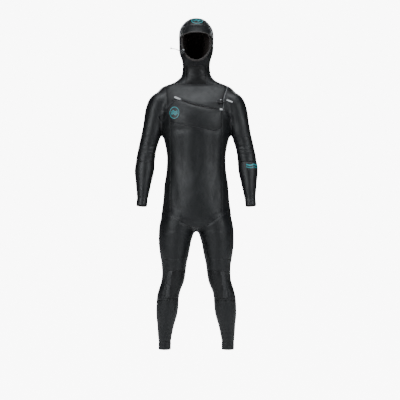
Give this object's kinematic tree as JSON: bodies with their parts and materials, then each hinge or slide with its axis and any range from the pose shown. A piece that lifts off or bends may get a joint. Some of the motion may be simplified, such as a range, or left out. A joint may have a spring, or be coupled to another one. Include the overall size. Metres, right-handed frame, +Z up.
{
  "type": "hooded full wetsuit",
  "caption": "Hooded full-length wetsuit in its worn shape, hollow, with a short peak, a slanted chest zip, drawcord locks, knee pads and bending elbows and knees.",
  "frame": {"origin": "the crotch, on the body's middle line", "axes": "+Z up the body, -Y out of the chest, +X towards the wearer's left side"},
  "size_m": [0.6247, 0.2782, 1.6962],
  "materials": {
    "stretch_black": "foam rubber with a fine knitted nylon face",
    "smooth_rubber": "smooth skin, satin",
    "pad_rubber": "matt moulded print",
    "tape_weave": "woven tape",
    "cord_grey": "braided elastic cord",
    "cord_dark": "braided elastic cord",
    "dark_plastic": "moulded",
    "light_plastic": "moulded",
    "light_print": "flat print",
    "teal_print": "flat rubber print",
    "spring_steel": "drawn wire"
  },
  "bodies": {
    "suit": {"chest_yoke": "stretch_black", "neck_collar": "smooth_rubber", "chest_panel": "stretch_black", "belly_panel": "stretch_black", "shoulder_left": "stretch_black", "shoulder_right": "stretch_black", "side_left": "stretch_black", "side_right": "stretch_black", "back_upper": "stretch_black", "back_lower": "stretch_black", "hip_front": "stretch_black", "hip_back": "stretch_black", "crotch_gusset": "stretch_black", "neck_front": "smooth_rubber", "neck_back": "stretch_black", "hood_crown": "stretch_black", "hood_left": "stretch_black", "hood_right": "stretch_black", "face_binding": "smooth_rubber", "hood_drawcord": "cord_dark", "visor": "stretch_black", "sleeve_left": "stretch_black", "sleeve_right": "stretch_black", "elbow_left": "stretch_black", "elbow_right": "stretch_black", "thigh_left": "stretch_black", "thigh_right": "stretch_black", "knee_left": "stretch_black", "knee_right": "stretch_black", "knee_pad_left": "pad_rubber", "knee_pad_right": "pad_rubber", "zip_tapes": "tape_weave", "zip_chain": "dark_plastic", "zip_ends": "dark_plastic", "zip_guard": "tape_weave", "hood_cord": "cord_grey", "cord_exits": "dark_plastic", "shoulder_lace": "light_print", "shoulder_cord": "cord_grey", "chest_badge": "teal_print", "hood_badge": "teal_print", "light_bars": "light_print"},
    "zip_slider": {"zip_slider": "dark_plastic"},
    "zip_puller": {"zip_puller": "light_plastic"},
    "hood_lock": {"hood_lock": "dark_plastic", "hood_lock_spring": "spring_steel"},
    "hood_button": {"hood_lock_button": "light_plastic"},
    "shoulder_lock": {"shoulder_lock": "dark_plastic", "shoulder_lock_spring": "spring_steel"},
    "shoulder_button": {"shoulder_lock_button": "light_plastic"},
    "forearm_left": {"forearm_left": "stretch_black", "wrist_cuff_left": "smooth_rubber", "forearm_badge": "teal_print"},
    "forearm_right": {"forearm_right": "stretch_black", "wrist_cuff_right": "smooth_rubber"},
    "shin_left": {"shin_left": "stretch_black", "ankle_cuff_left": "smooth_rubber"},
    "shin_right": {"shin_right": "stretch_black", "ankle_cuff_right": "smooth_rubber"}
  },
  "joints": [
    {"name": "zip_run", "type": "hinge", "parent": "suit", "child": "zip_slider", "pos_m": [0.04271, 0.1241, 0.72099], "axis": [0.2099, -0.3823, 0.8999], "range_deg": [0, 42.1]},
    {"name": "puller_lift", "type": "hinge", "parent": "zip_slider", "child": "zip_puller", "pos_m": [-0.07893, -0.09005, 0.66238], "axis": [0.4929, 0.3358, 0.8027], "range_deg": [0, 150]},
    {"name": "hood_lock_slide", "type": "slide", "parent": "suit", "child": "hood_lock", "axis": [-0.9135, 0, 0.4067], "range_m": [0, 0.019]},
    {"name": "hood_button_press", "type": "slide", "parent": "hood_lock", "child": "hood_button", "axis": [-0.4067, 0, -0.9135], "range_m": [0, 0.0035], "stiffness_N_per_m": 600, "springref_m": -0.002, "deforming": ["hood_lock_spring"]},
    {"name": "shoulder_lock_slide", "type": "slide", "parent": "suit", "child": "shoulder_lock", "axis": [-0.9327, -0.3395, 0.1219], "range_m": [0, 0.011]},
    {"name": "shoulder_button_press", "type": "slide", "parent": "shoulder_lock", "child": "shoulder_button", "axis": [0, -0.338, -0.9411], "range_m": [0, 0.0035], "stiffness_N_per_m": 600, "springref_m": -0.002, "deforming": ["shoulder_lock_spring"]},
    {"name": "elbow_left_flex", "type": "hinge", "parent": "suit", "child": "forearm_left", "pos_m": [0.2515, 0.005, 0.408], "axis": [-1, 0, 0], "range_deg": [0, 90], "stiffness_Nm_per_rad": 0.8, "deforming": ["elbow_left"]},
    {"name": "elbow_right_flex", "type": "hinge", "parent": "suit", "child": "forearm_right", "pos_m": [-0.2515, 0.005, 0.408], "axis": [-1, 0, 0], "range_deg": [0, 90], "stiffness_Nm_per_rad": 0.8, "deforming": ["elbow_right"]},
    {"name": "knee_left_flex", "type": "hinge", "parent": "suit", "child": "shin_left", "pos_m": [0.1187, 0, -0.242], "axis": [1, 0, 0], "range_deg": [0, 90], "stiffness_Nm_per_rad": 1.5, "deforming": ["knee_left", "knee_pad_left"]},
    {"name": "knee_right_flex", "type": "hinge", "parent": "suit", "child": "shin_right", "pos_m": [-0.1187, 0, -0.242], "axis": [1, 0, 0], "range_deg": [0, 90], "stiffness_Nm_per_rad": 1.5, "deforming": ["knee_right", "knee_pad_right"]}
  ]
}
